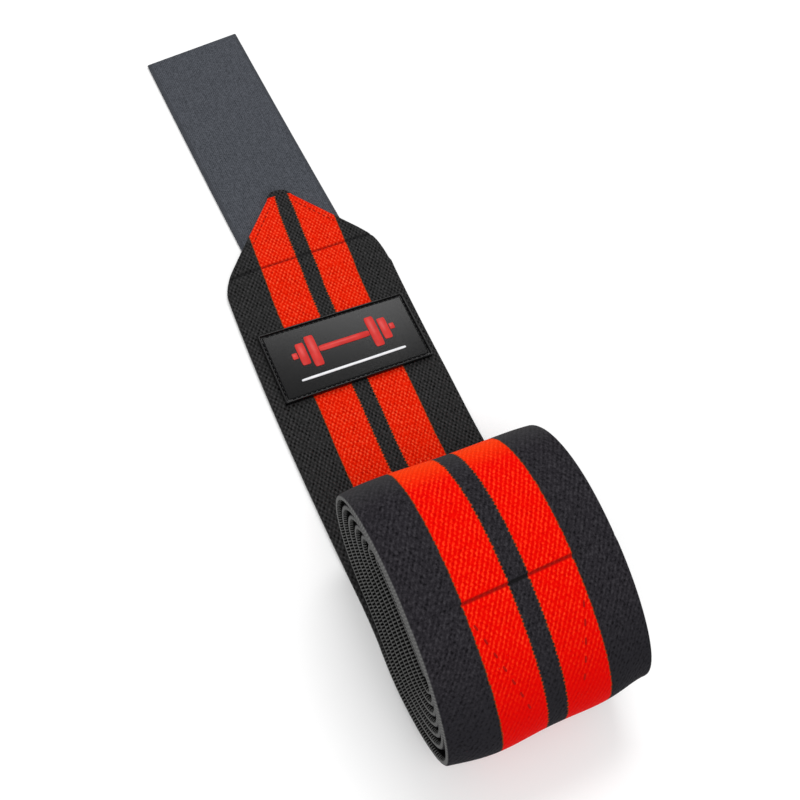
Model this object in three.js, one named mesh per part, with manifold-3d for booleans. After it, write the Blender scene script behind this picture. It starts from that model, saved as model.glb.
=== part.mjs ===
// An elastic knee wrap: one long band, wound into a flattened coil at one end. Its other end lies
// flat, is cut to a point and carries a rubber badge and a hook tab. Millimetres, +X across the
// band, +Y from the coil towards the tab, +Z up from the surface that the wrap lies on.
import * as THREE from "three";
import { mergeVertices } from "three/addons/utils/BufferGeometryUtils.js";
import Module from "manifold-3d";

const wasm = await Module();
wasm.setup();

// Driving dimensions: the band, and the gap that stands for a seam between two pieces.
const BAND_WIDTH = 80;
const BAND_THICK = 2.4;
const PIECE_GAP = 0.3;

// The coil. A higher squareness makes its inmost loops straighter-sided. Lean and yaw are slopes.
const COIL_LENGTH = 98.5;
const COIL_HEIGHT = 56;
const LAYER_GAP = 1.44;
const CORE_RADIUS = 1.6;
const TAIL_TURN = 0.35;
const STEPS_PER_TURN = 36;
const COIL_LEAN = 0.0033;
const COIL_YAW = -0.012;
const COIL_SIDESTEP = 0.76;
const COIL_SQUARENESS = 4;

// The flat strap, in order from the coil to the pointed end, and its sideways bend.
const COIL_TO_BADGE = 55;
const BADGE_TO_RAMP = 13.9;
const RAMP_LENGTH = 14;
const RAMP_STEPS = 7;
const RAMP_TO_TAB = 2;
const STRAP_STEP = 9;
const BEND_SPAN = 100;
const BEND_SQUARE = 3.6;
const BEND_CUBE = 0.65;

// The pointed end. Shoulder places are shares of the band's half width and of the point's length.
const RAMP_TO_POINT = 7;
const POINT_LENGTH = 52;
const TIP_OFFSET = -1.2;
const TIP_WIDTH = 12.4;
const TIP_BLUNT = 3.6;
const SHOULDER_LEFT = { across: 0.84, along: 0.28, roundAcross: 0.965, roundAlong: 0.16 };
const SHOULDER_RIGHT = { across: 0.775, along: 0.42, roundAcross: 0.96, roundAlong: 0.27 };

const TAB_WIDTH = 51.5;
const TAB_THICK = 1.6;
const TAB_LENGTH = 147.1;
const TAB_SLANT = 12.6;
const TAB_OFFSET = 1.25;
const TAB_VEER = -7.9;
const TAB_BOW = 1.1;
const TAB_STEPS = 8;

const BADGE_LENGTH = 69.6;
const BADGE_WIDTH = 34.6;
const BADGE_THICK = 2.4;
const BADGE_CORNER = 1.8;
const BADGE_RIM = 3.2;
const BADGE_PANEL_DEPTH = 0.7;
const BADGE_OFFSET = 1.1;
const BADGE_TURN = 0.012;

// Places along the wrap, measured from the coil's near end.
const badgeCentre = COIL_LENGTH + COIL_TO_BADGE + BADGE_WIDTH / 2;
const rampStart = badgeCentre + BADGE_WIDTH / 2 + BADGE_TO_RAMP;
const rampEnd = rampStart + RAMP_LENGTH;
const tabStart = rampEnd + RAMP_TO_TAB;
const pointStart = rampStart + RAMP_TO_POINT;
const tip = pointStart + POINT_LENGTH;

function toManifold(geometry) {
  const bare = geometry.clone();
  bare.deleteAttribute("normal");
  bare.deleteAttribute("uv");
  const merged = mergeVertices(bare, 1e-4);
  const vertProperties = new Float32Array(merged.attributes.position.array);
  const triVerts = new Uint32Array(merged.index.array);
  return new wasm.Manifold(new wasm.Mesh({ numProp: 3, vertProperties, triVerts }));
}

function toGeometry(solid) {
  const mesh = solid.getMesh();
  const geometry = new THREE.BufferGeometry();
  geometry.setAttribute("position", new THREE.BufferAttribute(mesh.vertProperties, 3));
  geometry.setIndex(new THREE.BufferAttribute(mesh.triVerts, 1));
  geometry.computeVertexNormals();
  return geometry;
}

function namedMesh(name, geometry, color, roughness) {
  const material = new THREE.MeshStandardMaterial({ color, roughness, metalness: 0 });
  const mesh = new THREE.Mesh(geometry, material);
  mesh.name = name;
  return mesh;
}

// Sideways shift of the flat strap's centre line, a gentle curve that is straight at the badge.
function strapShift(y) {
  const u = (y - badgeCentre) / BEND_SPAN;
  return BEND_SQUARE * u ** 2 + BEND_CUBE * u ** 3;
}

// Height of the band's middle surface on the flat strap, which steps up over the tab.
function strapHeight(y) {
  const low = BAND_THICK / 2;
  const high = TAB_THICK + PIECE_GAP + low;
  return THREE.MathUtils.lerp(low, high, THREE.MathUtils.smoothstep(y, rampStart, rampEnd));
}

// The coil's outermost middle line, and the point that its loops close in on. It bends back for
// the last time where a bend of the core radius still has room, and then runs on a little.
const pitch = BAND_THICK + LAYER_GAP;
const coil = {
  halfHeight: (COIL_HEIGHT - BAND_THICK) / 2 + pitch / 4,
  halfLength: (COIL_LENGTH - BAND_THICK) / 2 + pitch / 2,
  centreY: COIL_LENGTH / 2 + pitch / 4,
};
coil.centreZ = BAND_THICK / 2 + coil.halfHeight;
coil.bends = Math.floor(2 * ((coil.halfHeight - CORE_RADIUS) / pitch - 0.25));
coil.turns = coil.bends / 2 + 0.25 + TAIL_TURN;

// One point of the coil's middle line. The loops change from oval outside to straight-sided
// inside, lean lower at the near end, and step a little sideways with each turn.
function coilPoint(turn) {
  const angle = -Math.PI / 2 - turn * 2 * Math.PI;
  const along = Math.cos(angle);
  const square = Math.tanh(COIL_SQUARENESS * along) / Math.tanh(COIL_SQUARENESS);
  const spread = THREE.MathUtils.lerp(along, square, turn / coil.turns);
  const rise = coil.halfHeight - pitch * turn;
  const offset = (coil.halfLength - coil.halfHeight) * spread + rise * along;
  const height = coil.centreZ + rise * Math.sin(angle);
  const floor = BAND_THICK / 2;
  return {
    x: strapShift(coil.centreY) + COIL_YAW * offset + COIL_SIDESTEP * turn,
    y: coil.centreY + offset,
    z: floor + (height - floor) * (1 + COIL_LEAN * offset),
  };
}

// Evenly spaced places from one end of a stretch up to, but not including, the other.
function stretch(from, to, count) {
  return Array.from({ length: count }, (_, i) => from + ((to - from) * i) / count);
}

// The band's middle line, from the pointed end along the strap and round the coil to its core.
function bandPath() {
  const past = tip + STRAP_STEP / 2;
  const places = [
    ...stretch(past, rampEnd, Math.round((past - rampEnd) / STRAP_STEP)),
    ...stretch(rampEnd, rampStart, RAMP_STEPS),
    ...stretch(rampStart, coil.centreY, Math.round((rampStart - coil.centreY) / STRAP_STEP)),
  ];
  const strap = places.map((y) => ({ x: strapShift(y), y, z: strapHeight(y) }));
  const turns = stretch(0, coil.turns, Math.round(coil.turns * STEPS_PER_TURN));
  return [...strap, ...turns.map(coilPoint), coilPoint(coil.turns)];
}

// The band's side outline is its path with half a thickness on each side. It is extruded across
// the band, and each slice then moves sideways with the path.
function bandBlank(path) {
  const half = BAND_THICK / 2;
  const above = [];
  const below = [];
  path.forEach((point, i) => {
    const before = path[Math.max(i - 1, 0)];
    const after = path[Math.min(i + 1, path.length - 1)];
    const run = Math.hypot(after.y - before.y, after.z - before.z);
    const normal = { y: -(after.z - before.z) / run, z: (after.y - before.y) / run };
    above.push(new THREE.Vector2(point.y + half * normal.y, point.z + half * normal.z));
    below.push(new THREE.Vector2(point.y - half * normal.y, point.z - half * normal.z));
  });
  const shifts = new Map();
  const key = (y, z) => `${Math.fround(y)},${Math.fround(z)}`;
  path.forEach((point, i) => {
    shifts.set(key(above[i].x, above[i].y), point.x);
    shifts.set(key(below[i].x, below[i].y), point.x);
  });
  const outline = [...above, ...below.reverse()];
  const shape = new THREE.Shape(outline);
  const geometry = new THREE.ExtrudeGeometry(shape, { depth: BAND_WIDTH, bevelEnabled: false });
  const position = geometry.attributes.position;
  for (let i = 0; i < position.count; i++) {
    const y = position.getX(i);
    const z = position.getY(i);
    const across = position.getZ(i) - BAND_WIDTH / 2;
    position.setXYZ(i, across + shifts.get(key(y, z)), y, z);
  }
  return geometry;
}

// What is cut away from the strap's end: everything outside two slanted edges with rounded
// shoulders and a short blunt tip.
function endCutter() {
  const clear = BAND_WIDTH / 4;
  const half = BAND_WIDTH / 2;
  const at = (side, across, along) => [side * across * half, pointStart + along * POINT_LENGTH];
  const tipX = strapShift(tip) + TIP_OFFSET;
  const left = SHOULDER_LEFT;
  const right = SHOULDER_RIGHT;
  const shape = new THREE.Shape();
  shape.moveTo(-half - clear, pointStart);
  shape.lineTo(-half, pointStart);
  shape.quadraticCurveTo(
    ...at(-1, left.roundAcross, left.roundAlong),
    ...at(-1, left.across, left.along),
  );
  shape.lineTo(tipX - TIP_WIDTH / 2, tip - TIP_BLUNT);
  shape.quadraticCurveTo(tipX - TIP_WIDTH / 4, tip, tipX, tip);
  shape.lineTo(tipX + TIP_WIDTH / 2, tip - TIP_BLUNT);
  shape.lineTo(...at(1, right.across, right.along));
  shape.quadraticCurveTo(...at(1, right.roundAcross, right.roundAlong), half, pointStart);
  shape.lineTo(half + clear, pointStart);
  shape.lineTo(half + clear, tip + clear);
  shape.lineTo(-half - clear, tip + clear);
  const depth = strapHeight(tip) + 2 * BAND_THICK;
  const options = { depth, bevelEnabled: false, curveSegments: 6 };
  const geometry = new THREE.ExtrudeGeometry(shape, options);
  geometry.translate(0, 0, -BAND_THICK);
  return geometry;
}

function makeBand() {
  const blank = toManifold(bandBlank(bandPath()));
  const solid = blank.subtract(toManifold(endCutter()));
  return namedMesh("band", toGeometry(solid), 0x2a2a2d, 0.95);
}

// The hook tab is a flat strip that starts under the pointed end, veers and bows a little to one
// side, and is cut at a slant.
function makeTab() {
  const edge = (side) => {
    const reach = TAB_LENGTH + (side * TAB_SLANT) / 2;
    const points = [];
    for (let i = 0; i <= TAB_STEPS; i++) {
      const u = i / TAB_STEPS;
      const centre = strapShift(tabStart) + TAB_OFFSET + TAB_VEER * u;
      const x = centre - TAB_BOW * Math.sin(Math.PI * u) + (side * TAB_WIDTH) / 2;
      points.push(new THREE.Vector2(x, tabStart + reach * u));
    }
    return points;
  };
  const outline = [...edge(1), ...edge(-1).reverse()];
  const options = { depth: TAB_THICK, bevelEnabled: false };
  const geometry = new THREE.ExtrudeGeometry(new THREE.Shape(outline), options);
  return namedMesh("hook_tab", geometry, 0x4b4e54, 0.8);
}

function roundedRectangle(length, width, radius) {
  const x = length / 2 - radius;
  const y = width / 2 - radius;
  const shape = new THREE.Shape();
  shape.absarc(x, y, radius, 0, Math.PI / 2);
  shape.absarc(-x, y, radius, Math.PI / 2, Math.PI);
  shape.absarc(-x, -y, radius, Math.PI, Math.PI * 1.5);
  shape.absarc(x, -y, radius, Math.PI * 1.5, Math.PI * 2);
  return shape;
}

// The badge is a rubber plate with a raised rim round a sunk panel.
function makeBadge() {
  const plate = new THREE.ExtrudeGeometry(
    roundedRectangle(BADGE_LENGTH, BADGE_WIDTH, BADGE_CORNER),
    { depth: BADGE_THICK, bevelEnabled: false, curveSegments: 5 },
  );
  const inside = 2 * BADGE_RIM;
  const pocket = new THREE.ExtrudeGeometry(
    roundedRectangle(BADGE_LENGTH - inside, BADGE_WIDTH - inside, BADGE_CORNER / 2),
    { depth: BADGE_THICK, bevelEnabled: false, curveSegments: 4 },
  );
  pocket.translate(0, 0, BADGE_THICK - BADGE_PANEL_DEPTH);
  const solid = toManifold(plate).subtract(toManifold(pocket));
  const mesh = namedMesh("badge", toGeometry(solid), 0x141416, 0.45);
  mesh.rotation.z = BADGE_TURN;
  mesh.position.set(BADGE_OFFSET, badgeCentre, BAND_THICK + PIECE_GAP);
  return mesh;
}

// The wrap's own origin is at the middle of its box, on the surface that it lies on.
const wrap = new THREE.Group();
wrap.add(makeBand(), makeTab(), makeBadge());
const extent = new THREE.Box3().setFromObject(wrap);
const centre = extent.getCenter(new THREE.Vector3());
for (const piece of wrap.children) {
  piece.position.x -= centre.x;
  piece.position.y -= centre.y;
}

export default wrap;
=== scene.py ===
import bpy
import numpy as np
from mathutils import Matrix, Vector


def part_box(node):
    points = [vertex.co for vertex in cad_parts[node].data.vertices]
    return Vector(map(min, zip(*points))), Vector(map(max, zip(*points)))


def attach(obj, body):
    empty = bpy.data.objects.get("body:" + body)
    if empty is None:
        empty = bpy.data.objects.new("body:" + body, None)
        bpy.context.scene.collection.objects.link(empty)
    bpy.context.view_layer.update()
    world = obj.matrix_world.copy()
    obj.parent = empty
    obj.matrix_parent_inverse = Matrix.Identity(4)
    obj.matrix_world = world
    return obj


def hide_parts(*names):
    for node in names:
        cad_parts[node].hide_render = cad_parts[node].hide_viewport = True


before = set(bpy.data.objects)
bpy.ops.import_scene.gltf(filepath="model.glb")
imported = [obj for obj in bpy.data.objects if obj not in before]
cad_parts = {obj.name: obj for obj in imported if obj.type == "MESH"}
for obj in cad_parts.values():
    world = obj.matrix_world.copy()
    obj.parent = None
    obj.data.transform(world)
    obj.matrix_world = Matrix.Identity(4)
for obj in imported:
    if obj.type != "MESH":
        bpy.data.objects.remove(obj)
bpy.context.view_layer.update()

MM = 0.001
FULL_TURN = 2 * np.pi

# Sizes in millimetres. Most are those of the wrap's solids, and a few of the point's, the
# tab's and the badge's follow the photograph a little closer. Places along the wrap are
# measured from the coil's near end, and places across it from the middle of the band.
BAND_WIDTH = 80
BAND_THICK = 2.4
PIECE_GAP = 0.3

COIL_LENGTH = 98.5
COIL_HEIGHT = 56
LAYER_GAP = 1.44
CORE_RADIUS = 1.6
TAIL_TURN = 0.35
COIL_LEAN = 0.0033
COIL_YAW = -0.012
COIL_SIDESTEP = 0.76
COIL_SQUARENESS = 4

COIL_TO_BADGE = 55
BADGE_TO_RAMP = 13.9
RAMP_LENGTH = 14
RAMP_TO_TAB = 2
BEND_SPAN = 100
BEND_SQUARE = 3.6
BEND_CUBE = 0.65

RAMP_TO_POINT = 7
POINT_LENGTH = 52
TIP_OFFSET = -1.2
TIP_WIDTH = 12.4
TIP_BLUNT = 4.2
TIP_REACH = 1.1
SHOULDER_LEFT = {"across": 0.84, "along": 0.28, "round_across": 0.965, "round_along": 0.16,
                 "tight": 0.667}
SHOULDER_RIGHT = {"across": 0.875, "along": 0.341, "round_across": 0.975, "round_along": 0.258,
                  "tight": 0.8}

TAB_WIDTH = 51.5
TAB_THICK = 1.6
TAB_LENGTH = 148.0
TAB_SLANT = 12.6
TAB_OFFSET = 1.25
TAB_VEER = -7.9
TAB_BOW = 0.3

BADGE_LENGTH = 70.4
BADGE_WIDTH = 34.8
BADGE_CORNER = 0.9
BADGE_OFFSET = 1.1
BADGE_TURN = 0.012

badge_centre = COIL_LENGTH + COIL_TO_BADGE + BADGE_WIDTH / 2
ramp_start = badge_centre + BADGE_WIDTH / 2 + BADGE_TO_RAMP
ramp_end = ramp_start + RAMP_LENGTH
tab_start = ramp_end + RAMP_TO_TAB
point_start = ramp_start + RAMP_TO_POINT
tip = point_start + POINT_LENGTH + TIP_REACH

# The wrap's own origin is at the middle of its box, so the badge's box says where it is here.
badge_low, badge_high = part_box("badge")
origin_x = BADGE_OFFSET - (badge_low.x + badge_high.x) / 2 / MM
origin_y = badge_centre - (badge_low.y + badge_high.y) / 2 / MM


def smooth(value, low, high):
    """0 below low, 1 above high, and a smooth step between them."""
    share = np.clip((value - low) / (high - low), 0, 1)
    return share * share * (3 - 2 * share)


# The band's middle surface ---------------------------------------------------------------

pitch = BAND_THICK + LAYER_GAP
half_height = (COIL_HEIGHT - BAND_THICK) / 2 + pitch / 4
half_length = (COIL_LENGTH - BAND_THICK) / 2 + pitch / 2
coil_centre_y = COIL_LENGTH / 2 + pitch / 4
coil_centre_z = BAND_THICK / 2 + half_height
QUARTER = 0.25
coil_bends = np.floor(2 * ((half_height - CORE_RADIUS) / pitch - QUARTER))
coil_turns = coil_bends / 2 + QUARTER + TAIL_TURN

# How finely the centre line is sampled, in millimetres on the strap and in turns on the coil.
STRAP_SAMPLE = 0.25
COIL_SAMPLE = 0.001


def strap_shift(y):
    """Sideways shift of the strap's centre line: a square and a cube of the way from the badge."""
    u = (y - badge_centre) / BEND_SPAN
    return BEND_SQUARE * u**2 + BEND_CUBE * u**3


def coil_line(turn):
    """Centre line of the coil. Its height goes round with the turn and closes in by a pitch a
    turn, and its length is a blend from an oval outside to straight-sided loops inside."""
    angle = -np.pi / 2 - turn * FULL_TURN
    along = np.cos(angle)
    square = np.tanh(COIL_SQUARENESS * along) / np.tanh(COIL_SQUARENESS)
    spread = along + (square - along) * turn / coil_turns
    rise = half_height - pitch * turn
    offset = (half_length - half_height) * spread + rise * along
    height = coil_centre_z + rise * np.sin(angle)
    floor = BAND_THICK / 2
    x = strap_shift(coil_centre_y) + COIL_YAW * offset + COIL_SIDESTEP * turn
    return x, coil_centre_y + offset, floor + (height - floor) * (1 + COIL_LEAN * offset)


def centre_line():
    """The whole band's centre line, finely sampled from the pointed end to the core, with the
    length along it in millimetres, which is 0 where the coil starts."""
    strap_y = np.arange(tip + BAND_THICK, coil_centre_y, -STRAP_SAMPLE)
    strap_z = np.full(strap_y.shape, BAND_THICK / 2)
    turn = np.arange(0, coil_turns, COIL_SAMPLE)
    coil_x, coil_y, coil_z = coil_line(turn)
    x = np.concatenate([strap_shift(strap_y), coil_x])
    y = np.concatenate([strap_y, coil_y])
    z = np.concatenate([strap_z, coil_z])
    run = np.concatenate([[0], np.cumsum(np.hypot(np.diff(y), np.diff(z)))])
    turns = np.concatenate([np.zeros(strap_y.shape), turn])
    return {"x": x, "y": y, "z": z, "turn": turns, "along": run - run[len(strap_y)]}


line = centre_line()


def on_line(name, along):
    """The centre line's x, y, z or turn at a length along it, read between its samples."""
    return np.interp(along, line["along"], line[name])


def along_at_turn(turn):
    """Length along the centre line where the coil has made so many turns."""
    return np.interp(turn, line["turn"], line["along"])


# How far the coil's near end is drawn in, at places across the band, and how much further its
# inner layers are drawn in at the band's left edge. Each pull sets in over a part of a turn.
CROWN_ACROSS = [-40, -27, -13, 0, 13, 27, 40]
CROWN_PULL = [3.7, 0.67, -0.22, -0.35, -1.26, -1.14, -0.5]
CROWN_REACH = 40
CROWN_TURNS = (0.02, 0.2)
INNER_PULL = 1.3
INNER_TURNS = (0.5, 1)
LEFT_EDGE_REACH = 13
crown = np.polyfit(CROWN_ACROSS, CROWN_PULL, 6)

# How far the coil's far end reaches out beyond its oval, at places across the band, and how
# far the left edge spreads there.
FAR_ACROSS = [-40, -36, -30, -21, -4, 20, 40]
FAR_PUSH = [1.0, 1.7, 2.05, 1.95, 1.25, 0.9, 0.25]
FAR_FROM = 50
FAR_FROM_TURN = 0.4
FAR_FLARE = 0.6
far_end = np.polyfit(FAR_ACROSS, FAR_PUSH, 4)

# How far the strap's stripes are drawn to the left just behind the coil. The pull sets in
# towards the coil and fades out under it. Across the band it grows from the left edge, and it
# eases off again towards the right one.
STRIPE_PULL = 1.2
STRIPE_PULL_FROM = 150
STRIPE_PULL_TO = 112
STRIPE_PULL_UNDER = (55, 85)
STRIPE_PULL_LEFT = (-42, -18)
STRIPE_PULL_RIGHT = (20, 40)
STRIPE_PULL_EASE = 0.45

# How far the left edge spreads outwards where the coil rests on the floor.
FLARE = 1.5
FLARE_FROM = 66
FLARE_TO = 28

# Where the strap's end lies over the tab, the shoulders beside the tab sink back.
SINK_INSIDE = 27
SINK_OUTSIDE = 39
SINK_DEPTH = 1.3


def band_middle(across, along):
    """Middle surface of the band in millimetres. It is the centre line moved across, with the
    strap's end raised over the tab, the stripes drawn left behind the coil, and the coil's two
    ends pulled in and pushed out by curves across it."""
    y = on_line("y", along)
    turn = on_line("turn", along)
    x = on_line("x", along) + across
    z = on_line("z", along)
    over_tab = smooth(y, ramp_start, ramp_end) * (turn == 0)
    beside = smooth(np.abs(across - TAB_OFFSET), SINK_INSIDE, SINK_OUTSIDE)
    z = z + over_tab * (TAB_THICK + PIECE_GAP - SINK_DEPTH * beside)
    near = smooth(-y, -CROWN_REACH, 0) * smooth(turn, *CROWN_TURNS)
    left = np.exp(-(((across + BAND_WIDTH / 2) / LEFT_EDGE_REACH) ** 2))
    inner = INNER_PULL * left * smooth(turn, *INNER_TURNS)
    y = y + near * (np.polyval(crown, across) + inner)
    far = smooth(y, FAR_FROM, COIL_LENGTH) * (turn > FAR_FROM_TURN)
    y = y + far * np.polyval(far_end, across)
    x = x - FAR_FLARE * left * far
    behind = smooth(-y, -STRIPE_PULL_FROM, -STRIPE_PULL_TO)
    behind = behind * smooth(y, *STRIPE_PULL_UNDER) * (turn == 0)
    eased = 1 - STRIPE_PULL_EASE * smooth(across, *STRIPE_PULL_RIGHT)
    drawn = smooth(across, *STRIPE_PULL_LEFT) * eased
    x = x - STRIPE_PULL * behind * drawn
    low = np.clip(1 - z / COIL_HEIGHT, 0, 1) * smooth(-y, -FLARE_FROM, -FLARE_TO)
    x = x - FLARE * left * low
    return np.stack([x, y, z], -1)


def band_normal(across, along):
    """Unit normal of the middle surface, on the woven side, from small steps both ways."""
    step = 0.15
    run = band_middle(across, along + step) - band_middle(across, along - step)
    side = band_middle(across + step, along) - band_middle(across - step, along)
    normal = np.cross(run, side)
    return normal / np.linalg.norm(normal, axis=-1, keepdims=True)


# The seams: one across the strap, one across the coil's top layer, on its pile side. Before
# the coil's seam its layer is a step lower, which fades out further back.
STRAP_SEAM_LEFT = 220.6
STRAP_SEAM_RIGHT = 224.6
STRAP_SEAM_HALF = 32.3
COIL_SEAM = 46.4
SEAM_HALF_WIDTH = 0.55
SEAM_DEPTH = 0.45
SEAM_STEP = 0.35
SEAM_STEP_SLOPE = 2.5
SEAM_STEP_FROM = -70
SEAM_STEP_FULL = -40


def coil_top_along(y):
    """Length along the band of a place on top of the coil's outermost layer."""
    top = (line["turn"] > 0.25) & (line["turn"] < 0.75)
    return np.interp(y, line["y"][top], line["along"][top])


coil_seam_along = coil_top_along(COIL_SEAM)


def strap_seam_along(across):
    """Length along the band where the strap's seam crosses it: a straight, slanted line."""
    share = (across + STRAP_SEAM_HALF) / (2 * STRAP_SEAM_HALF)
    y = STRAP_SEAM_LEFT + (STRAP_SEAM_RIGHT - STRAP_SEAM_LEFT) * share
    return coil_centre_y - y


def band_surface(across, along, side):
    """A point on the band. Side runs from 1, on the woven face, to -1, on the pile face. Seams
    press a narrow bell-shaped groove into their face."""
    height = side * BAND_THICK / 2
    strap = np.exp(-(((along - strap_seam_along(across)) / SEAM_HALF_WIDTH) ** 2))
    height = height - SEAM_DEPTH * strap * np.clip(side, 0, 1)
    past = along - coil_seam_along
    groove = SEAM_DEPTH * np.exp(-((past / SEAM_HALF_WIDTH) ** 2))
    before = SEAM_STEP * smooth(-past, 0, SEAM_STEP_SLOPE)
    before = before * smooth(past, SEAM_STEP_FROM, SEAM_STEP_FULL)
    height = height + (groove - before) * np.clip(-side, 0, 1)
    return band_middle(across, along) + height[..., None] * band_normal(across, along)


SHOULDER_STEPS = 24
BLUNT_STEPS = 16


def point_outline(side, shoulder):
    """One slanted edge of the pointed end as places across it at given places along it: a
    cubic curve round the shoulder, a straight edge, and an elliptic end at the tip."""
    half = BAND_WIDTH / 2
    t = np.linspace(0, 1, SHOULDER_STEPS)
    corner = (half, point_start)
    pull = (shoulder["round_across"] * half, point_start + shoulder["round_along"] * POINT_LENGTH)
    end = (shoulder["across"] * half, point_start + shoulder["along"] * POINT_LENGTH)
    tight = shoulder["tight"]
    curve = []
    for a, b, c in zip(corner, pull, end):
        first, second = a + tight * (b - a), c + tight * (b - c)
        start = (1 - t) ** 3 * a + 3 * t * (1 - t) ** 2 * first
        curve.append(start + 3 * t**2 * (1 - t) * second + t**3 * c)
    tip_x = strap_shift(tip) + TIP_OFFSET
    blunt = np.linspace(0, 1, BLUNT_STEPS)
    tip_across = side * tip_x + TIP_WIDTH / 2 * np.sqrt(1 - blunt**2)
    across = np.concatenate([curve[0], tip_across])
    along = np.concatenate([curve[1], tip - TIP_BLUNT + TIP_BLUNT * blunt])
    return lambda y: side * np.interp(y, along, across, left=2 * half)


left_outline = point_outline(-1, SHOULDER_LEFT)
right_outline = point_outline(1, SHOULDER_RIGHT)


def band_edges(along):
    """Places of the band's left and right edges across it, at places along it."""
    y = on_line("y", along)
    on_strap = on_line("turn", along) == 0
    shift = strap_shift(y)
    half = BAND_WIDTH / 2
    left = np.where(on_strap, np.maximum(-half, left_outline(y) - shift), -half)
    right = np.where(on_strap, np.minimum(half, right_outline(y) - shift), half)
    return left, right


# Meshes ----------------------------------------------------------------------------------

def new_piece(name, points, faces, finishes, face_finish=None, place=None):
    """A mesh piece from points in millimetres in the wrap's own places. Place is a vector at
    each point that its finish reads."""
    moved = (np.asarray(points, float) - [origin_x, origin_y, 0]) * MM
    mesh = bpy.data.meshes.new(name)
    mesh.from_pydata(moved.tolist(), [], [list(face) for face in faces])
    for finish in finishes:
        mesh.materials.append(finish)
    if face_finish is not None:
        mesh.polygons.foreach_set("material_index", np.asarray(face_finish, np.int32))
    if place is not None:
        layer = mesh.attributes.new("place", "FLOAT_VECTOR", "POINT")
        layer.data.foreach_set("vector", np.asarray(place, np.float32).ravel())
    mesh.polygons.foreach_set("use_smooth", np.ones(len(mesh.polygons), bool))
    mesh.validate()
    mesh.update()
    piece = bpy.data.objects.new(name, mesh)
    bpy.context.scene.collection.objects.link(piece)
    return piece


def tube_faces(rings, around, first=0):
    """Quads between rings of points, one ring after the other, with a face over each end."""
    ring, place = np.meshgrid(np.arange(rings - 1), np.arange(around), indexing="ij")
    after = (place + 1) % around
    corners = [ring * around + place, ring * around + after]
    corners += [(ring + 1) * around + after, (ring + 1) * around + place]
    quads = np.stack(corners, -1).reshape(-1, 4) + first
    start = np.arange(around)[::-1] + first
    end = (rings - 1) * around + np.arange(around) + first
    return quads.tolist() + [start.tolist(), end.tolist()]


def flip(faces):
    """The same faces, each with its corners the other way round."""
    return [face[::-1] for face in faces]


def cloth_profile(flat_steps, edge_steps):
    """A flat strip's cross section as three lists: its reach to either side on the flat faces,
    its reach round the edges, and its side, which runs from 1 on top to -1 underneath."""
    flat = np.linspace(-1, 1, flat_steps)
    angle = np.linspace(np.pi / 2, -np.pi / 2, edge_steps + 2)[1:-1]
    reach = np.concatenate([flat, np.ones(edge_steps), flat[::-1], -np.ones(edge_steps)])
    round_reach = np.concatenate(
        [np.zeros(flat_steps), np.cos(angle), np.zeros(flat_steps), -np.cos(angle)]
    )
    side = np.concatenate(
        [np.ones(flat_steps), np.sin(angle), -np.ones(flat_steps), -np.sin(angle)]
    )
    return reach, round_reach, side


def end_rounding(share, least):
    """How much of its thickness a sheet keeps near its end: a quarter circle over the share of
    the rounding that is passed, and never less than a small part."""
    return np.sqrt(np.clip(1 - (1 - share).clip(0) ** 2, least, 1))


# Steps between the band's rings in millimetres: on the point, across a seam, on the strap and
# the coil's outer layers, and in the inner layers, which hardly show.
POINT_STEP = 0.8
SEAM_RING_STEP = 0.3
PLAIN_STEP = 1.8
INNER_STEP = 3
OUTER_TURNS = 1.6
END_ROUND = 1.2
END_ROUND_STEPS = 7
POINT_RINGS_FROM = 1.4
STRAP_SEAM_MARGIN = 3
COIL_SEAM_MARGIN = 4


def make_band(finish):
    """The band is its cross section carried along the centre line. The rings stand closer at
    the seams and at the pointed end, and the cross section narrows with the point."""
    strap_end = coil_centre_y - tip
    strap_seam_from = coil_centre_y - (STRAP_SEAM_RIGHT + STRAP_SEAM_MARGIN)
    strap_seam_to = coil_centre_y - (STRAP_SEAM_LEFT - STRAP_SEAM_MARGIN)
    coil_seam_from = coil_seam_along - COIL_SEAM_MARGIN
    coil_seam_to = coil_seam_along + COIL_SEAM_MARGIN
    outer = along_at_turn(OUTER_TURNS)
    quarter = np.linspace(0, np.pi / 2, END_ROUND_STEPS)
    places = np.concatenate([
        strap_end + END_ROUND * (1 - np.cos(quarter)),
        np.arange(strap_end + POINT_RINGS_FROM, strap_seam_from, POINT_STEP),
        np.arange(strap_seam_from, strap_seam_to, SEAM_RING_STEP),
        np.arange(strap_seam_to, 0, PLAIN_STEP),
        np.arange(0, coil_seam_from, PLAIN_STEP),
        np.arange(coil_seam_from, coil_seam_to, SEAM_RING_STEP),
        np.arange(coil_seam_to, outer, PLAIN_STEP),
        np.arange(outer, line["along"][-1], INNER_STEP),
    ])
    along = np.unique(np.round(places, 4))
    reach, round_reach, side = cloth_profile(45, 7)
    left, right = band_edges(along)
    radius = np.minimum(BAND_THICK / 2, (right - left) / 2)
    half = (right - left) / 2 - radius
    across = (left + right)[:, None] / 2 + half[:, None] * reach + radius[:, None] * round_reach
    sides = side * end_rounding((along - strap_end) / END_ROUND, 0.02)[:, None]
    alongs = np.broadcast_to(along[:, None], across.shape)
    points = band_surface(across, alongs, sides).reshape(-1, 3)
    place = np.stack([across, alongs, np.broadcast_to(side, across.shape)], -1)
    faces = tube_faces(len(along), len(side))
    return new_piece("band_cloth", points, faces, [finish], place=place.reshape(-1, 3))


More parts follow.
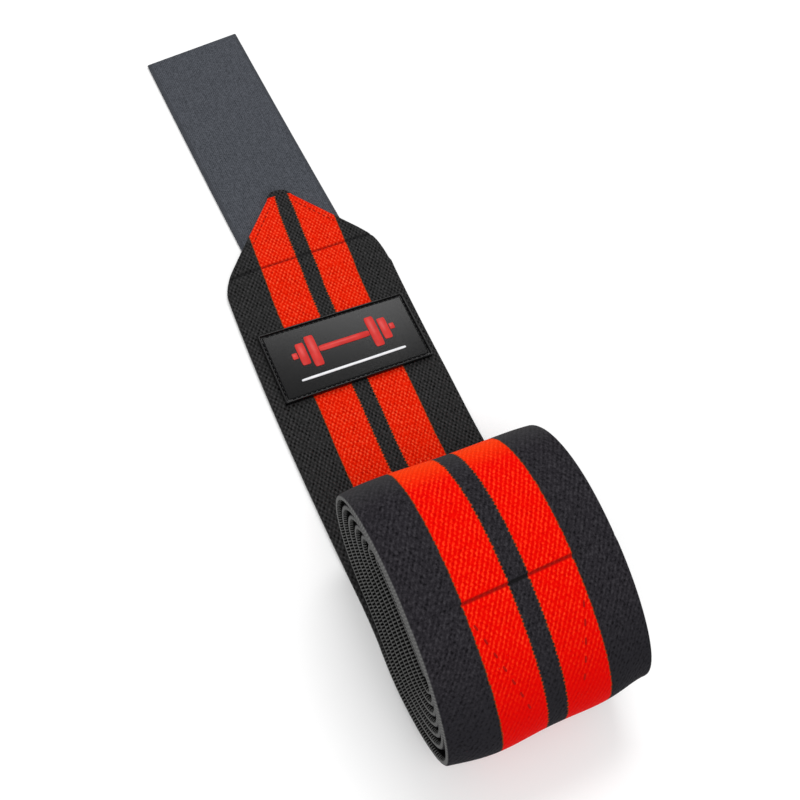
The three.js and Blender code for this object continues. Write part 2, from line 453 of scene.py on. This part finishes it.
def make_tab(finish):
    """The hook tab is a flat strip from under the pointed end. Its far end is slanted, so its
    right edge is longer than its left, and its centre veers and bows to the left."""
    u = np.concatenate([[0, 0.002, 0.006], np.linspace(0.012, 0.988, 90), [0.994, 0.998, 1]])
    reach, round_reach, side = cloth_profile(30, 5)
    centre = strap_shift(tab_start) + TAB_OFFSET + TAB_VEER * u - TAB_BOW * np.sin(np.pi * u)
    radius = TAB_THICK / 2
    across = (TAB_WIDTH / 2 - radius) * reach + radius * round_reach
    share = across / TAB_WIDTH
    end_round = end_rounding(np.minimum(u, 1 - u) * TAB_LENGTH / (TAB_THICK / 2), 0.05)
    x = centre[:, None] + across[None, :]
    y = tab_start + u[:, None] * (TAB_LENGTH + TAB_SLANT * share[None, :])
    z = TAB_THICK / 2 * (1 + side[None, :] * end_round[:, None])
    points = np.stack([x, y, z], -1).reshape(-1, 3)
    place = np.stack([
        np.broadcast_to(across, x.shape), y - tab_start, np.broadcast_to(side, x.shape)
    ], -1)
    faces = flip(tube_faces(len(u), len(side)))
    return new_piece("tab_cloth", points, faces, [finish], place=place.reshape(-1, 3))


# The badge's cross section from its foot to its panel: how far in from its outline, and its
# height, in millimetres. The stitch groove lies between the rim's narrow ridge and the panel,
# whose finish starts at the profile's place PANEL_FIRST.
RIM = [
    (0.0, 0.0), (0.0, 0.9), (0.04, 1.75), (0.14, 2.12), (0.3, 2.26), (0.5, 2.3), (0.68, 2.26),
    (0.82, 2.1), (0.92, 1.8), (1.02, 1.45), (1.15, 1.3), (1.45, 1.28), (1.62, 1.35),
    (1.72, 1.5), (1.8, 1.62), (1.88, 1.66), (2.0, 1.66), (2.15, 1.66), (6.0, 1.66), (9.0, 1.66),
    (13.0, 1.66),
]
STITCH_INSET = 1.62
STITCH_HEIGHT = 1.52
PANEL_HEIGHT = 1.66
PANEL_FIRST = 14
CORNER_CLOSING = 0.4
CORNER_LEAST = 0.5
CORNER_STEPS = 7
LONG_SIDE_STEPS = 15
SHORT_SIDE_STEPS = 9


def badge_ring(inset):
    """A rounded rectangle that lies inset inside the badge's outline, as points round it. Each
    corner is a quarter circle, and each side is a straight run of points."""
    half_x = BADGE_LENGTH / 2 - inset
    half_y = BADGE_WIDTH / 2 - inset
    radius = max(BADGE_CORNER - CORNER_CLOSING * inset, CORNER_LEAST)
    corner = np.linspace(0, np.pi / 2, CORNER_STEPS)
    run_x = np.linspace(-1, 1, LONG_SIDE_STEPS)[1:-1] * (half_x - radius)
    run_y = np.linspace(-1, 1, SHORT_SIDE_STEPS)[1:-1] * (half_y - radius)
    x, y = [], []
    for quarter, (sx, sy) in enumerate([(1, 1), (-1, 1), (-1, -1), (1, -1)]):
        angle = corner + quarter * np.pi / 2
        x.append(sx * (half_x - radius) + radius * np.cos(angle))
        y.append(sy * (half_y - radius) + radius * np.sin(angle))
        along_x = quarter % 2 == 0
        x.append(-sx * run_x if along_x else np.full(run_y.shape, sx * half_x))
        y.append(np.full(run_x.shape, sy * half_y) if along_x else -sy * run_y)
    return np.concatenate(x), np.concatenate(y)


def badge_place(x, y, z):
    """A point on the badge: turned a little, and set on the strap."""
    cos, sin = np.cos(BADGE_TURN), np.sin(BADGE_TURN)
    base = BAND_THICK + PIECE_GAP
    moved = [BADGE_OFFSET + cos * x - sin * y, badge_centre + sin * x + cos * y, base + z]
    return np.stack(moved, -1)


def make_badge(finishes):
    """The badge is its cross section carried round its outline, ring inside ring. The rings
    inside the rim take the panel's finish."""
    points = []
    for inset, height in RIM:
        x, y = badge_ring(inset)
        points.append(badge_place(x, y, np.full(x.shape, height)))
    points = np.array(points)
    around = points.shape[1]
    faces = tube_faces(len(RIM), around)
    on_panel = np.arange(len(faces)) >= PANEL_FIRST * around
    on_panel[-2] = False
    return new_piece("badge_rubber", points.reshape(-1, 3), faces, finishes, on_panel)


STITCH_RINGS = 7
STITCH_SIDES = 6


def thread_pieces(name, start, end, up, radius, sink, finish):
    """Stitches from start points to end points, each a capsule of thread: rounds of points
    whose radius swells and closes in along it by a fourth power, with ends that dip into the
    cloth by a square."""
    along = np.linspace(0, 1, STITCH_RINGS)
    angle = np.linspace(0, FULL_TURN, STITCH_SIDES + 1)[:-1]
    swell = radius * np.sqrt(np.clip(1 - (2 * along - 1) ** 4, 0.03, 1))
    dip = -sink * (2 * along - 1) ** 2
    run = end - start
    length = np.linalg.norm(run, axis=-1, keepdims=True)
    way = run / length
    side = np.cross(way, up)
    side /= np.linalg.norm(side, axis=-1, keepdims=True)
    top = np.cross(side, way)
    centre = start[:, None] + along[None, :, None] * run[:, None]
    centre = centre + dip[None, :, None] * top[:, None]
    ring = np.cos(angle)[:, None] * side[:, None, None]
    ring = ring + np.sin(angle)[:, None] * top[:, None, None]
    points = centre[:, :, None] + swell[None, :, None, None] * ring
    each = len(along) * len(angle)
    faces = []
    for number in range(len(start)):
        faces += flip(tube_faces(len(along), len(angle), number * each))
    return new_piece(name, points.reshape(-1, 3), faces, [finish])


# Finishes --------------------------------------------------------------------------------

def srgb(red, green, blue):
    """A picture's colour, from 0 to 255, as the linear colour that a finish takes."""
    share = np.array([red, green, blue]) / 255
    linear = np.where(share <= 0.04045, share / 12.92, ((share + 0.055) / 1.055) ** 2.4)
    return (*linear.tolist(), 1)


class Finish:
    """A procedural material, put together from short calls."""

    def __init__(self, name, roughness, gloss, coordinates="place"):
        self.material = bpy.data.materials.new(name)
        self.material.use_nodes = True
        self.tree = self.material.node_tree
        self.shader = self.tree.nodes["Principled BSDF"]
        self.shader.inputs["Roughness"].default_value = roughness
        self.shader.inputs["Specular IOR Level"].default_value = gloss
        if coordinates == "place":
            source = self.tree.nodes.new("ShaderNodeAttribute")
            source.attribute_name = "place"
            self.vector = source.outputs["Vector"]
        else:
            source = self.tree.nodes.new("ShaderNodeTexCoord")
            self.vector = source.outputs["Object"]

    def put(self, socket, value):
        """Links another node's output to a socket, or sets the socket to a constant."""
        if isinstance(value, bpy.types.NodeSocket):
            self.tree.links.new(value, socket)
        else:
            socket.default_value = value

    def maths(self, operation, *values):
        node = self.tree.nodes.new("ShaderNodeMath")
        node.operation = operation
        for socket, value in zip(node.inputs, values):
            self.put(socket, value)
        return node.outputs[0]

    def add(self, a, b):
        return self.maths("ADD", a, b)

    def times(self, a, b):
        return self.maths("MULTIPLY", a, b)

    def parts(self):
        node = self.tree.nodes.new("ShaderNodeSeparateXYZ")
        self.put(node.inputs[0], self.vector)
        return node.outputs

    def stretched(self, scale):
        node = self.tree.nodes.new("ShaderNodeVectorMath")
        node.operation = "MULTIPLY"
        self.put(node.inputs[0], self.vector)
        node.inputs[1].default_value = scale
        return node.outputs[0]

    def noise(self, scale, detail=2, vector=None):
        node = self.tree.nodes.new("ShaderNodeTexNoise")
        self.put(node.inputs["Vector"], vector or self.vector)
        node.inputs["Scale"].default_value = scale
        node.inputs["Detail"].default_value = detail
        return node.outputs["Fac"]

    def wave(self, value, period):
        """The cosine of a place that repeats with the period."""
        return self.maths("COSINE", self.times(value, FULL_TURN / period))

    def span(self, value, low, high, to_low=0, to_high=1):
        """Carries a value's range over to another, and holds it there."""
        node = self.tree.nodes.new("ShaderNodeMapRange")
        self.put(node.inputs[0], value)
        for socket, number in zip(list(node.inputs)[1:5], (low, high, to_low, to_high)):
            self.put(socket, number)
        return node.outputs[0]

    def blend(self, share, low, high):
        node = self.tree.nodes.new("ShaderNodeMix")
        node.data_type = "RGBA"
        for number, value in ((0, share), (6, low), (7, high)):
            self.put(node.inputs[number], value)
        return node.outputs[2]

    def bump(self, height, distance, strength=1.0):
        node = self.tree.nodes.new("ShaderNodeBump")
        node.inputs["Strength"].default_value = strength
        node.inputs["Distance"].default_value = distance
        self.put(node.inputs["Height"], height)
        self.put(self.shader.inputs["Normal"], node.outputs[0])

    def colour(self, value):
        self.put(self.shader.inputs["Base Color"], value)

    def sheen(self, weight, roughness):
        self.shader.inputs["Sheen Weight"].default_value = weight
        self.shader.inputs["Sheen Roughness"].default_value = roughness


CELL_ACROSS = 1.95
CELL_ALONG = 2.72
STRIPE_INNER = 3.9
STRIPE_OUTER = 21.4
STRIPE_EDGE = 0.12
SEAM_JOG = 0.5
CAP_LENGTH = 3.7
# The next four places along the band set where the painted sheen over the coil's far bend sets in
# and fades out.
BEND_FROM = 85
BEND_FULL = 12
BEND_FADE = 24
BEND_END = 44
# The next two places along the coil bound the painted shade on its pile towards the floor.
COIL_TAUT_SHADE_FROM = 74
COIL_TAUT_SHADE_TO = 100
RUNG_PITCH = 1.3
tip_along = coil_centre_y - tip


def band_finish():
    """Woven elastic: two red stripes on charcoal. Two sets of slanted waves cross into cells.
    The woven face shows them as knobs in brick rows, and the pile face as soft slanted ribs."""
    f = Finish("striped_elastic", 0.9, 0.03)
    across, along, side = f.parts()
    woven = f.span(side, -0.25, 0.25)
    pile = f.maths("SUBTRACT", 1, woven)
    drift = f.times(f.add(f.noise(0.35, 2), -0.5), 2.6)
    grain = f.add(f.noise(0.8, 3), -0.5)
    speck = f.add(f.noise(1.7, 2), -0.5)
    patch = f.noise(0.5, 1)

    # Cells: the cosines of the sum and of the difference of two phases, both a little adrift.
    phase_u = f.add(f.times(across, FULL_TURN / CELL_ACROSS), f.add(drift, f.times(grain, 3.5)))
    phase_v = f.add(f.times(along, FULL_TURN / CELL_ALONG), f.times(speck, 2.5))
    rising = f.maths("COSINE", f.maths("SUBTRACT", phase_u, phase_v))
    falling = f.maths("COSINE", f.add(phase_u, phase_v))
    ribs = f.add(f.times(rising, f.span(woven, 0, 1, 0.62, 0.5)),
                 f.times(falling, f.span(woven, 0, 1, 0.26, 0.5)))
    cells = f.add(f.times(ribs, f.span(patch, 0.35, 0.65, 0.5, 1.1)),
                  f.add(f.times(grain, 1.6), f.times(speck, 1.3)))

    # Stripes, with a jog at the coil's seam and edges that step from cell to cell.
    past_seam = f.span(along, coil_seam_along - 0.3, coil_seam_along + 0.3, 0.5, -0.5)
    place = f.add(across, f.times(f.times(past_seam, SEAM_JOG), pile))
    wander = f.add(f.times(f.maths("COSINE", f.times(phase_v, 2)), 0.14), f.times(grain, 0.9))
    narrow = f.span(along, tip_along, tip_along + 14, 0.8, 0)
    reach = f.add(f.maths("ABSOLUTE", place), f.add(wander, narrow))
    red = f.times(
        f.span(reach, STRIPE_INNER - STRIPE_EDGE, STRIPE_INNER + STRIPE_EDGE),
        f.span(reach, STRIPE_OUTER - STRIPE_EDGE, STRIPE_OUTER + STRIPE_EDGE, 1, 0),
    )
    red = f.times(red, f.span(along, tip_along + CAP_LENGTH, tip_along + CAP_LENGTH + 0.3))

    # A thin lining of stitches runs beside each stripe, and ends where the tip's cap begins.
    from_inner = f.maths("ABSOLUTE", f.add(reach, -STRIPE_INNER))
    from_outer = f.maths("ABSOLUTE", f.add(reach, -STRIPE_OUTER))
    lining = f.span(f.maths("MINIMUM", from_inner, from_outer), 0.1, 0.35, 0.7, 0)
    past_cap = f.span(along, tip_along + CAP_LENGTH - 0.3, tip_along + CAP_LENGTH)
    lining = f.times(lining, past_cap)
    stitch = f.span(f.maths("COSINE", f.times(phase_v, 2)), 0.2, 0.7)
    stitch = f.times(stitch, f.span(woven, 0, 1, 0.5, 1))

    # Each face has three tones: the gaps, painted darker as shade; the cloth itself; and the tops
    # of the yarns, painted lighter as highlights. The pile's painted highlights fade out towards
    # the floor, where the coil's skin is stretched smooth and lies in shade, and the skin there is
    # painted a little darker as shade.
    gap_shade = f.span(cells, -1.1, -0.1)
    top_highlight = f.span(cells, 0.05, 1.1)
    # Near the floor the pile is painted in shade: its painted highlights fade and its skin is
    # painted darker.
    loose_and_lit = f.span(along, COIL_TAUT_SHADE_FROM, COIL_TAUT_SHADE_TO, 0.12, 1)
    pile_highlight = f.times(top_highlight, loose_and_lit)
    woven_red = f.blend(top_highlight, f.blend(gap_shade, srgb(190, 8, 0), srgb(222, 29, 1)), srgb(252, 88, 52))
    pile_skin_and_shade = f.blend(loose_and_lit, srgb(218, 2, 0), srgb(227, 5, 0))
    pile_red = f.blend(pile_highlight, f.blend(gap_shade, srgb(202, 0, 0), pile_skin_and_shade), srgb(254, 62, 24))
    woven_black = f.blend(top_highlight, f.blend(gap_shade, srgb(0, 0, 0), srgb(41, 41, 41)), srgb(66, 65, 66))
    # The charcoal pile is done the same way: painted shade in its gaps, painted highlights on its
    # tops, and painted shade on its skin towards the floor.
    fuzz = f.add(f.times(cells, 0.65), f.add(f.times(grain, 2.4), f.times(speck, 1.8)))
    fuzz_highlight = f.times(f.span(fuzz, 0.05, 1.1), loose_and_lit)
    fuzz_skin_and_shade = f.blend(loose_and_lit, srgb(36, 35, 39), srgb(39, 37, 41))
    pile_black = f.blend(fuzz_highlight, f.blend(f.span(fuzz, -1.1, -0.1), srgb(18, 17, 20), fuzz_skin_and_shade),
                         srgb(57, 55, 59))

    # Over the coil's far bend the pile is lighter, as in the photograph.
    # This lighter, more orange tint is a painted sheen: the light from behind on the pile's far
    # top.
    bend_sheen_start = float(coil_top_along(BEND_FROM))
    bend_sheen = f.times(f.span(along, bend_sheen_start, bend_sheen_start + BEND_FULL),
                   f.span(along, bend_sheen_start + BEND_FADE, bend_sheen_start + BEND_END, 1, 0))
    pile_red = f.blend(f.times(bend_sheen, 0.5), pile_red, srgb(255, 78, 4))
    pile_black = f.blend(f.times(bend_sheen, 0.55), pile_black, srgb(62, 62, 63))
    reds = f.blend(woven, pile_red, woven_red)
    blacks = f.blend(woven, pile_black, woven_black)
    cloth = f.blend(red, blacks, reds)
    cloth = f.blend(lining, cloth, f.blend(stitch, srgb(72, 50, 16), srgb(196, 76, 26)))

    # The coil's seam is a dark line across the stripes: painted shade along its groove. The
    # strap's seam is pressed in, with painted shade along its groove.
    from_middle = f.maths("ABSOLUTE", across)
    seam_shade = f.span(f.maths("ABSOLUTE", f.add(along, -coil_seam_along)), 0.35, 0.9, 0.85, 0)
    seam_shade = f.times(f.times(seam_shade, pile),
                   f.span(from_middle, STRIPE_OUTER, STRIPE_OUTER + 0.3, 1, 0))
    cloth = f.blend(seam_shade, cloth, f.blend(red, srgb(18, 18, 19), srgb(142, 12, 8)))
    slope = (STRAP_SEAM_RIGHT - STRAP_SEAM_LEFT) / (2 * STRAP_SEAM_HALF)
    past_strap_seam = f.add(f.add(along, f.times(across, slope)), -float(strap_seam_along(0)))
    pressed_shade = f.times(f.span(f.maths("ABSOLUTE", past_strap_seam), 0.3, 1.1, 0.6, 0), woven)
    cloth = f.blend(pressed_shade, cloth, f.blend(red, srgb(14, 14, 14), srgb(136, 10, 4)))

    # At the selvage the pile's edge is paler, and inside the coil the picks show as rungs at the
    # very edge. Elsewhere inside the coil the woven face is painted near black as shade.
    coiled = f.span(along, 0, 10)
    rung = f.span(f.wave(along, RUNG_PITCH), -0.2, 0.7)
    inside = f.times(f.times(f.span(from_middle, 30, 36), coiled), f.span(side, 0.3, 0.5))
    deep_shade = f.blend(f.times(rung, f.span(from_middle, 38.65, 39)), srgb(6, 6, 6), srgb(98, 98, 97))
    cloth = f.blend(inside, cloth, deep_shade)
    selvage = f.times(f.span(side, -0.85, -0.6), f.span(side, 0.3, 0.5, 1, 0))
    selvage = f.times(selvage, f.span(from_middle, 38.9, 39.2))
    cloth = f.blend(f.times(selvage, f.span(rung, 0, 1, 0.55, 0.95)), cloth, srgb(116, 116, 115))
    f.colour(cloth)

    height = f.add(cells, f.times(f.times(rung, inside), 1.2))
    f.bump(f.times(height, f.span(woven, 0, 1, 0.45, 1)), 0.0002)
    f.sheen(0.02, 0.4)
    return f.material


def tab_finish():
    """Slate hook tape: fine lengthwise lines and fainter cross lines, with a plain margin."""
    f = Finish("slate_hook_tape", 0.85, 0.08)
    across, along, _ = f.parts()
    streaks = f.noise(1.0, 3, f.stretched((2.2, 0.12, 1)))
    grain = f.noise(1.6, 3)
    lines = f.times(f.wave(across, 0.9), 0.45)
    picks = f.times(f.wave(along, 0.8), 0.35)
    cloth = f.add(f.add(lines, picks), f.times(f.add(grain, -0.5), 5))
    margin = f.span(f.maths("ABSOLUTE", across), TAB_WIDTH / 2 - 2.2, TAB_WIDTH / 2 - 1.6)
    light = f.span(f.add(cloth, f.times(f.add(streaks, -0.5), 2.2)), -1.3, 1.3)
    base = f.blend(light, srgb(46, 49, 54), srgb(88, 91, 98))
    f.colour(f.blend(f.times(margin, 0.55), base, srgb(60, 62, 67)))
    f.bump(cloth, 0.00008)
    f.sheen(0.02, 0.4)
    return f.material


def rubber_finish(name, base, tint, roughness, gloss):
    """Moulded rubber or enamel: a faint mottle in colour and a fine skin in the bump."""
    f = Finish(name, roughness, gloss, "object")
    mottle = f.noise(260, 3)
    f.colour(f.blend(f.span(mottle, 0.35, 0.65), base, tint))
    f.bump(f.noise(2600, 2), 0.00002, 0.4)
    return f.material


def thread_finish(name, base, tint):
    """Sewing thread with a fine twist of lighter and darker strands."""
    f = Finish(name, 0.75, 0.1, "object")
    x, y, z = f.parts()
    twist = f.wave(f.add(f.add(x, y), z), 0.0005)
    f.colour(f.blend(f.span(twist, -1, 1), base, tint))
    f.bump(twist, 0.00005)
    return f.material


# Pieces ----------------------------------------------------------------------------------

def finished(piece):
    """The piece, riding on the one body."""
    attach(piece, "root")
    return piece


band = finished(make_band(band_finish()))
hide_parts("band")
tab = finished(make_tab(tab_finish()))
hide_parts("hook_tab")
rubber = rubber_finish("black_rubber", srgb(5, 5, 6), srgb(9, 9, 10), 0.28, 0.3)
panel = rubber_finish("black_panel", srgb(4, 4, 5), srgb(6, 6, 7), 0.2, 0.155)
badge = finished(make_badge([rubber, panel]))
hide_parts("badge")

STITCH_LENGTH = 1.7
STITCH_PITCH = 2.3
STITCH_RADIUS = 0.42
STITCH_SINK = 0.1
BAND_STITCH_SINK = 0.2
black_thread = thread_finish("black_thread", srgb(16, 16, 17), srgb(48, 48, 50))
badge_thread = thread_finish("badge_thread", srgb(10, 10, 11), srgb(30, 30, 32))


def badge_stitches():
    """Stitches in the badge's groove, at even steps along its four sides."""
    half_x = BADGE_LENGTH / 2 - STITCH_INSET
    half_y = BADGE_WIDTH / 2 - STITCH_INSET
    starts, ends = [], []
    for way, half, out in ((0, half_x, half_y), (1, half_y, half_x)):
        count = int(2 * (half - 1) / STITCH_PITCH)
        places = (np.arange(count) - (count - 1) / 2) * STITCH_PITCH
        for sign in (-1, 1):
            rows = []
            for end in (-STITCH_LENGTH / 2, STITCH_LENGTH / 2):
                along = places + end
                off = np.full(count, sign * out)
                x, y = (along, off) if way == 0 else (off, along)
                rows.append(badge_place(x, y, np.full(count, STITCH_HEIGHT)))
            starts.append(rows[0])
            ends.append(rows[1])
    start, end = np.concatenate(starts), np.concatenate(ends)
    up = np.broadcast_to([0.0, 0.0, 1.0], start.shape)
    return thread_pieces("badge_stitching", start, end, up, STITCH_RADIUS, STITCH_SINK,
                         badge_thread)


def band_thread(name, rows, pitch, cover, side, lift, radius, finish):
    """Stitches on a face of the band. Each row is a straight line between two places, given
    across and along the band, and its stitches lie at even steps on it."""
    starts, ends, ups = [], [], []
    for (x0, s0), (x1, s1) in rows:
        count = max(1, int(np.hypot(x1 - x0, s1 - s0) / pitch))
        first = np.arange(count) / count
        for share, out in ((first, starts), (first + cover / count, ends)):
            across = x0 + (x1 - x0) * share
            along = s0 + (s1 - s0) * share
            sides = np.full(count, float(side))
            normal = side * band_normal(across, along)
            out.append(band_surface(across, along, sides) + lift * normal)
        ups.append(normal)
    start, end, up = map(np.concatenate, (starts, ends, ups))
    return thread_pieces(name, start, end, up, radius, BAND_STITCH_SINK, finish)


finished(badge_stitches())

RAISED_HEIGHT = 0.25
RAISED_FOOT = -0.05
RAISED_WALL = 0.6
RAISED_SLOPE = 0.12


def raised_shape(outline):
    """A flat shape raised from the badge's panel: its outline at the foot, the same again at
    the top of its wall, and drawn in a little on top."""
    x, y = outline
    points = []
    wall = RAISED_HEIGHT * RAISED_WALL
    for draw_in, z in ((0, RAISED_FOOT), (0, wall), (RAISED_SLOPE, RAISED_HEIGHT)):
        cx, cy = x.mean(), y.mean()
        reach = np.hypot(x - cx, y - cy)
        scale = 1 - draw_in / reach
        points.append(badge_place(cx + (x - cx) * scale, cy + (y - cy) * scale,
                                  np.full(x.shape, PANEL_HEIGHT + z)))
    return np.concatenate(points), len(x)


BAR_STEPS = 48
BAR_POWER = 0.25


def bar_outline(centre, length, width):
    """A rounded bar: a superellipse, whose corners are tight and whose sides run straight."""
    angle = np.linspace(0, FULL_TURN, BAR_STEPS + 1)[:-1]
    x = np.sign(np.cos(angle)) * np.abs(np.cos(angle)) ** BAR_POWER
    y = np.sign(np.sin(angle)) * np.abs(np.sin(angle)) ** BAR_POWER
    return centre[0] + x * length / 2, centre[1] + y * width / 2


def raised_piece(name, bars, finish):
    """Raised bars as one piece, each from its centre, length and width."""
    points, faces, first = [], [], 0
    for bar in bars:
        shape, around = raised_shape(bar_outline(*bar))
        points.append(shape)
        faces += tube_faces(3, around, first)
        first += len(shape)
    return new_piece(name, np.concatenate(points), faces, [finish])


# A plain dumbbell in red: a bar with two plates at each end. Below it runs a thin white rule.
DUMBBELL = [
    ((0, 2.6), 24.4, 3), ((-14.6, 2.6), 4.4, 15.6), ((-19.8, 2.6), 4, 11),
    ((14.6, 2.6), 4.4, 15.6), ((19.8, 2.6), 4, 11), ((-23.4, 2.6), 2.4, 3), ((23.4, 2.6), 2.4, 3),
]
RULE = [((0, -9.4), 50, 1.2)]
red_enamel = rubber_finish("red_enamel", srgb(196, 38, 34), srgb(210, 48, 42), 0.4, 0.3)
white_enamel = rubber_finish("white_enamel", srgb(226, 228, 232), srgb(240, 241, 244), 0.4, 0.3)
finished(raised_piece("badge_dumbbell", DUMBBELL, red_enamel))
finished(raised_piece("badge_rule", RULE, white_enamel))


def strap_row(x0, x1):
    """A stitch row on the strap's seam, between two places across the band."""
    return (x0, float(strap_seam_along(x0))), (x1, float(strap_seam_along(x1)))


def coil_row(x0, x1):
    """A stitch row on the coil's seam, between two places across the band."""
    return (x0, coil_seam_along), (x1, coil_seam_along)


# Where the stitch rows run, as pairs of places across and along the band.
STRAP_BLACK = [strap_row(-34, -21), strap_row(-4, 4), strap_row(21, 32)]
STRAP_RED = [strap_row(-21, -4), strap_row(4, 21)]
COIL_RED = [coil_row(-21, -4), coil_row(4, 21)]
POINT_RED = [((-21, -184.4), (-6.6, -203.4)), ((20.7, -186.2), (4.6, -203.6))]
POINT_BLACK = [((-29.5, -173.2), (-21.5, -183.7)), ((26.5, -180.2), (21.3, -185.6))]
COIL_ROWS = [((-20.3, 108.5), (-9.5, 72)), ((19.2, 101), (10.0, 73))]

dark_red_thread = thread_finish("dark_red_thread", srgb(120, 8, 4), srgb(160, 18, 8))
sunk_thread = thread_finish("sunk_red_thread", srgb(160, 6, 2), srgb(196, 12, 4))
red_thread = thread_finish("red_thread", srgb(140, 12, 5), srgb(182, 30, 12))

# The stitching on the band. Pitch is from stitch to stitch, and cover the share of it that the
# thread takes. Side is 1 on the woven face and -1 on the pile, and lift is over that face.
BAND_STITCHING = [
    {"name": "strap_seam_black", "rows": STRAP_BLACK, "pitch": 2.5, "cover": 0.8,
     "side": 1, "lift": 0.05, "radius": 0.28, "finish": black_thread},
    {"name": "strap_seam_red", "rows": STRAP_RED, "pitch": 2.5, "cover": 0.8,
     "side": 1, "lift": 0.05, "radius": 0.28, "finish": dark_red_thread},
    {"name": "point_stitching_red", "rows": POINT_RED, "pitch": 2.6, "cover": 0.75,
     "side": 1, "lift": 0.02, "radius": 0.3, "finish": red_thread},
    {"name": "point_stitching_black", "rows": POINT_BLACK, "pitch": 2.6, "cover": 0.75,
     "side": 1, "lift": -0.05, "radius": 0.26, "finish": black_thread},
    {"name": "coil_stitching", "rows": COIL_ROWS, "pitch": 5.2, "cover": 0.55,
     "side": -1, "lift": -0.3, "radius": 0.58, "finish": sunk_thread},
    {"name": "coil_seam_red", "rows": COIL_RED, "pitch": 2.5, "cover": 0.8,
     "side": -1, "lift": -0.12, "radius": 0.26, "finish": dark_red_thread},
]
for stitching in BAND_STITCHING:
    finished(band_thread(**stitching))

# Floor, light and camera -----------------------------------------------------------------

FLOOR_REACH = 3.0
FLOOR_Z = -0.0001
SKY_STRENGTH = 0.6

floor_finish = Finish("pale_floor", 0.9, 0.02, "object")
floor_tone = floor_finish.blend(floor_finish.noise(3), srgb(250, 250, 250), srgb(254, 254, 254))
floor_finish.colour(floor_tone)
floor_mesh = bpy.data.meshes.new("floor")
floor_corners = [(x * FLOOR_REACH, y * FLOOR_REACH, FLOOR_Z)
                 for x, y in ((-1, -1), (1, -1), (1, 1), (-1, 1))]
floor_mesh.from_pydata(floor_corners, [], [(0, 1, 2, 3)])
floor_mesh.materials.append(floor_finish.material)
floor = bpy.data.objects.new("floor", floor_mesh)
bpy.context.scene.collection.objects.link(floor)

world = bpy.data.worlds.new("studio")
bpy.context.scene.world = world
world.use_nodes = True
world.node_tree.nodes["Background"].inputs["Color"].default_value = (1, 1, 1, 1)
world.node_tree.nodes["Background"].inputs["Strength"].default_value = SKY_STRENGTH
bpy.context.scene.view_settings.view_transform = "Standard"


def soft_light(name, place, size, power):
    """A soft rectangular light at a place in metres, turned towards the origin."""
    lamp = bpy.data.lights.new(name, "AREA")
    lamp.shape = "RECTANGLE"
    lamp.size, lamp.size_y = size
    lamp.energy = power
    light = bpy.data.objects.new(name, lamp)
    away = np.array(place) / np.linalg.norm(place)
    side = np.cross([0, 0.01, 1], away)
    side /= np.linalg.norm(side)
    turn = Matrix([side, np.cross(away, side), away]).transposed()
    light.matrix_world = Matrix.Translation(place) @ turn.to_4x4()
    bpy.context.scene.collection.objects.link(light)


soft_light("back_light", (0.31, 0.79, 1.1), (0.65, 0.35), 7.2)
soft_light("front_light", (-0.2, -0.4, 1.0), (0.8, 0.8), 4.2)

# The camera: its focal length from the photograph, its place, in millimetres from the wrap's
# own zero, and the directions that run right, down and ahead in its picture.
FOCAL_PIXELS = 750.36
PICTURE_PIXELS = 800
SENSOR_WIDTH = 36
camera_data = bpy.data.cameras.new("camera")
camera_data.sensor_width = SENSOR_WIDTH
camera_data.lens = SENSOR_WIDTH * FOCAL_PIXELS / PICTURE_PIXELS
camera_data.clip_start = 0.01
camera = bpy.data.objects.new("camera", camera_data)
right = np.array([0.89746, -0.40926, 0.16454])
down = np.array([-0.30856, -0.84905, -0.42885])
ahead = np.array([0.31522, 0.33410, -0.88826])
camera_place = np.array([-90.01, 29.64, 293.38]) - [origin_x, origin_y, 0]
turn = Matrix([right, -down, -ahead]).transposed()
camera.matrix_world = Matrix.Translation(camera_place * MM) @ turn.to_4x4()
bpy.context.scene.collection.objects.link(camera)
bpy.context.scene.camera = camera

bpy.context.view_layer.update()
